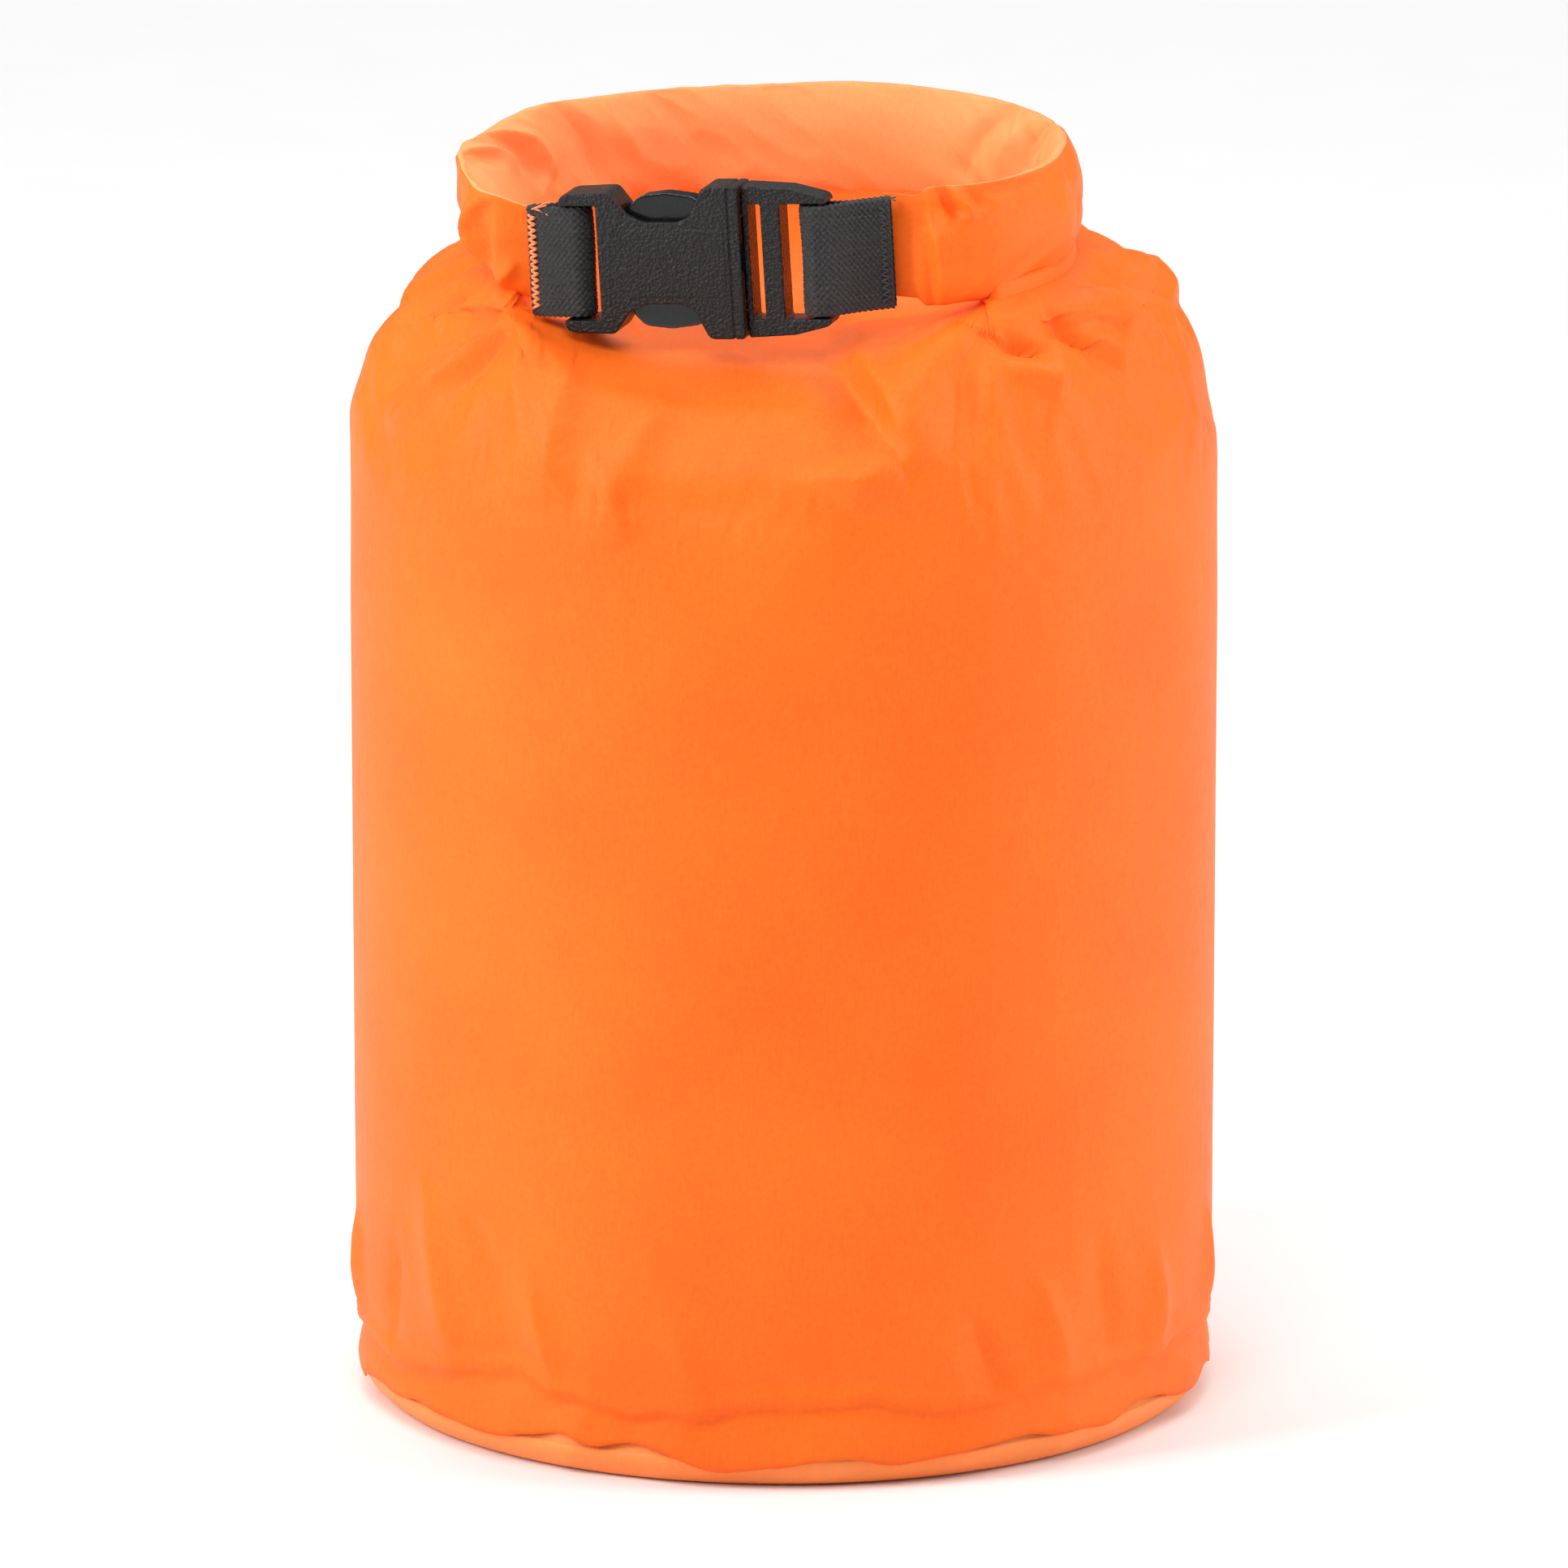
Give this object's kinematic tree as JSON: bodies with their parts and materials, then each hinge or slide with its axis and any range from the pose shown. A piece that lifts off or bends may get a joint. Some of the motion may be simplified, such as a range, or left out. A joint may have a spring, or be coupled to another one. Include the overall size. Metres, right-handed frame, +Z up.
{
  "type": "dry bag",
  "caption": "Roll-top dry bag in light coated fabric, closed: the rolled mouth is bent into a carry loop and joined by a side-release buckle.",
  "frame": {"origin": "centre of the base on the surface it stands on", "axes": "+Z up, the buckle side faces -Y, +X to the right seen from the buckle side"},
  "size_m": [0.158, 0.146, 0.237],
  "materials": {
    "shell_fabric": "fine plain weave nylon with a thin coating, faint satin sheen",
    "base_fabric": "fine plain weave nylon with a thin coating, faint satin sheen",
    "rolled_fabric": "fine plain weave nylon with a thin coating, creased by rolling",
    "stiffener_plastic": "flexible strip, smooth",
    "webbing": "woven polyamide tape with a diamond pattern",
    "thread": "twisted sewing thread",
    "buckle_plastic": "fine spark-eroded texture, matt",
    "prong_plastic": "polished"
  },
  "bodies": {
    "root": {"body_tube": "shell_fabric", "base_panel": "base_fabric", "roll_collar": "rolled_fabric", "stiffener_front": "stiffener_plastic", "stiffener_back": "stiffener_plastic", "strap_left": "webbing", "strap_right": "webbing", "bartack_left": "thread", "bartack_right": "thread", "female_housing": "buckle_plastic"},
    "buckle_plug": {"male_frame": "buckle_plastic"},
    "upper_prong": {"prong_upper": "prong_plastic"},
    "lower_prong": {"prong_lower": "prong_plastic"}
  },
  "joints": [
    {"name": "buckle_release", "type": "slide", "parent": "root", "child": "buckle_plug", "axis": [0.9595, -0.2751, 0.061], "range_m": [0, 0.024], "deforming": ["strap_right"]},
    {"name": "upper_prong_squeeze", "type": "hinge", "parent": "buckle_plug", "child": "upper_prong", "pos_m": [-0.00854, -0.04541, 0.23029], "axis": [-0.2756, -0.9613, 0], "range_deg": [0, 7], "stiffness_Nm_per_rad": 0.2},
    {"name": "lower_prong_squeeze", "type": "hinge", "parent": "buckle_plug", "child": "lower_prong", "pos_m": [-0.00753, -0.04571, 0.21312], "axis": [0.2756, 0.9613, 0], "range_deg": [0, 7], "stiffness_Nm_per_rad": 0.2}
  ]
}
